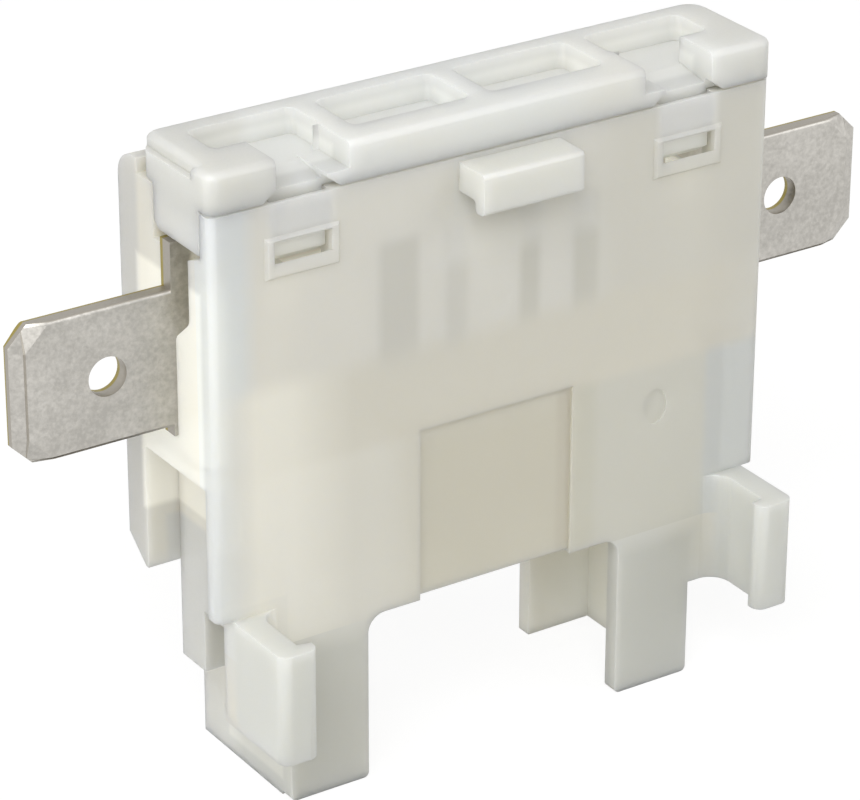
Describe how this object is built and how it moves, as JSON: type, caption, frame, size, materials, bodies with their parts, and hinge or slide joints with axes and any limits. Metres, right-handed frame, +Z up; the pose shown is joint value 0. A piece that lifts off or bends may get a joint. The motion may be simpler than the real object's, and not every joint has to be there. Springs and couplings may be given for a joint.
{
  "type": "blade fuse holder",
  "caption": "Stackable holder for a standard blade fuse: slim translucent housing on two channel feet, clip-on lid, and a flat quick-connect tab out of each end.",
  "frame": {"origin": "middle of the bounding box's underside, level with the soles of both feet", "axes": "X along the holder from the left tab to the right tab, Y from the stacking wings towards the back wall, Z up from the feet to the lid"},
  "size_m": [0.0438, 0.0116, 0.0305],
  "materials": {
    "housing": "natural translucent nylon, fine moulded surface",
    "lid": "natural translucent nylon, fine moulded surface",
    "terminal": "matte tin plating with bare brass on the sheared edges"
  },
  "bodies": {
    "base": {"housing": "housing", "terminal_left": "terminal", "terminal_right": "terminal"},
    "lid": {"lid": "lid"}
  },
  "joints": [
    {"name": "lid_lift", "type": "slide", "parent": "base", "child": "lid", "axis": [0, 0, 1], "range_m": [0, 0.03]}
  ]
}
